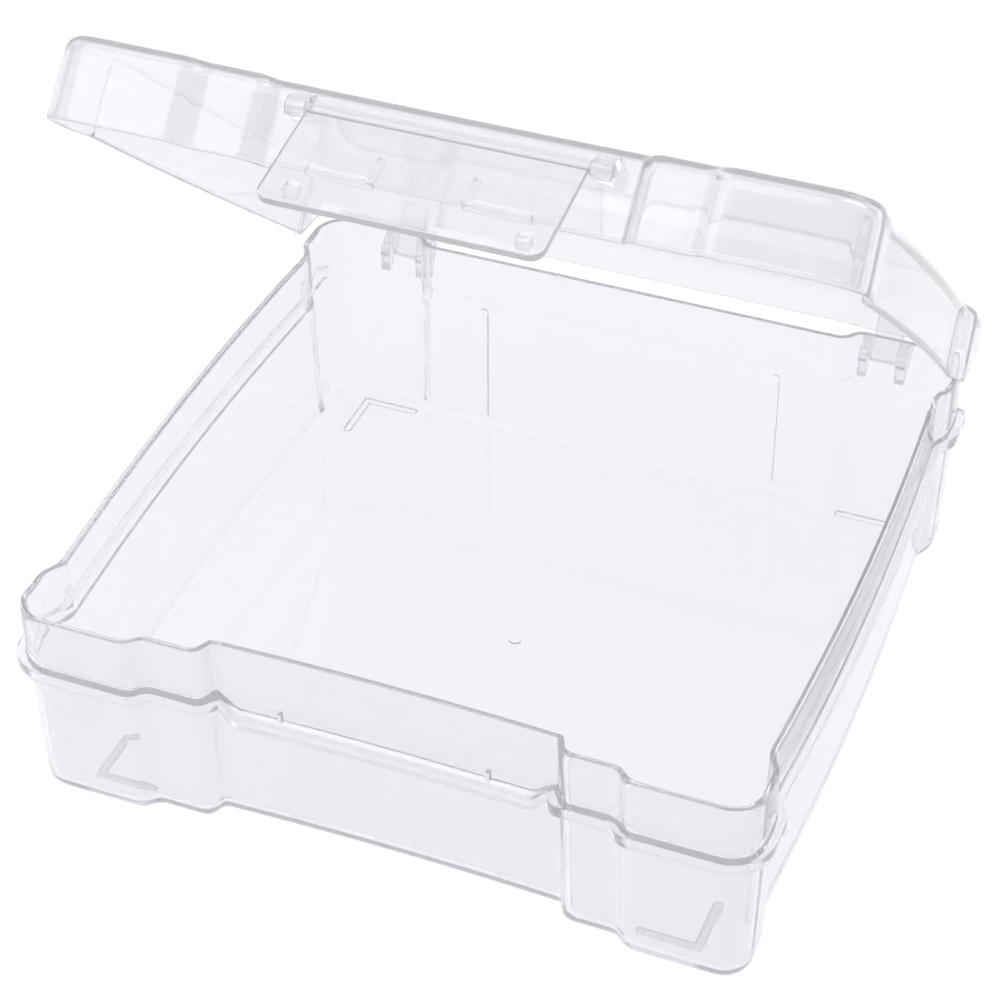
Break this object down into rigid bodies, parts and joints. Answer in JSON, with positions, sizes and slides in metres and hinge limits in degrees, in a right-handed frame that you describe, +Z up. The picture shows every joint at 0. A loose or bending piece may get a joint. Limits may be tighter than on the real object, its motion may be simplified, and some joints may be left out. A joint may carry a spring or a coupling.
{
  "type": "hinged storage case",
  "caption": "Clear plastic storage case: a nearly square tray, a shallow lid hinged along the back, and a latch flap that swings from the lid's front.",
  "frame": {"origin": "middle of the tray's flat underside", "axes": "+Z up, +X to the right seen from the latch side, latch towards -Y, hinge towards +Y"},
  "size_m": [0.1772, 0.1834, 0.1718],
  "materials": {
    "tray_clear": "clear gloss",
    "lid_clear": "clear gloss",
    "latch_clear": "clear gloss"
  },
  "bodies": {
    "tray": {"tray_shell": "tray_clear", "tray_flange": "tray_clear", "tray_latch_keeper": "tray_clear", "tray_back_ribs": "tray_clear", "tray_hinge_lugs": "tray_clear"},
    "lid": {"lid_shell": "lid_clear", "lid_hinge_arms": "lid_clear", "lid_latch_ears": "lid_clear"},
    "latch": {"latch_plate": "latch_clear", "latch_hooks": "latch_clear", "latch_catch_ribs": "latch_clear"}
  },
  "joints": [
    {"name": "lid_hinge", "type": "hinge", "parent": "tray", "child": "lid", "pos_m": [0, 0.0895, 0.045], "axis": [-1, 0, 0], "range_deg": [-41.5, 68.5]},
    {"name": "latch_pivot", "type": "hinge", "parent": "lid", "child": "latch", "pos_m": [0, -0.03421, 0.1646], "axis": [-1, 0, 0], "range_deg": [-38, 72]}
  ]
}
